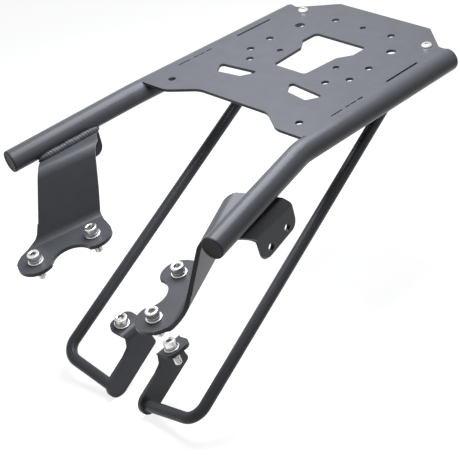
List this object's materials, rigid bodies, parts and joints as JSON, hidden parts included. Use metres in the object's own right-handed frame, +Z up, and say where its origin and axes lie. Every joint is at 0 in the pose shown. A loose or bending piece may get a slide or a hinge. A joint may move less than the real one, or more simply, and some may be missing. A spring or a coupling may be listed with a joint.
{
  "type": "motorcycle luggage rack",
  "caption": "Rear luggage rack: flat slotted plate on two bent side tubes, with folded mounting brackets below and a bent rod hoop on each side down to a strap bracket.",
  "frame": {"origin": "centre of the hole on the centre line between the two rear plate screws, at the plate's top face", "axes": "+Z up, normal to the plate; +Y towards the rear of the motorcycle; +X towards the rider's left; mirror-symmetric about X = 0"},
  "size_m": [0.3114, 0.4484, 0.2606],
  "materials": {
    "black_coat": "satin black powder coat",
    "bright_steel": "bright zinc or stainless steel",
    "plug_plastic": "dull black plastic"
  },
  "bodies": {
    "root": {"bracket_bolts": "bright_steel", "flat_washers": "bright_steel", "hoop_welds": "black_coat", "left_bracket_weld": "black_coat", "left_hoop_bracket": "black_coat", "left_hoop_rod": "black_coat", "left_main_bracket": "black_coat", "left_side_tube": "black_coat", "left_tube_front_plug": "plug_plastic", "left_tube_rear_plug": "plug_plastic", "plate_button_screws": "bright_steel", "plate_nuts": "bright_steel", "plate_plug_welds": "black_coat", "right_bracket_weld": "black_coat", "right_hoop_bracket": "black_coat", "right_hoop_rod": "black_coat", "right_main_bracket": "black_coat", "right_side_tube": "black_coat", "right_tube_front_plug": "plug_plastic", "right_tube_rear_plug": "plug_plastic", "spring_washers": "bright_steel", "top_plate": "black_coat"}
  },
  "joints": []
}
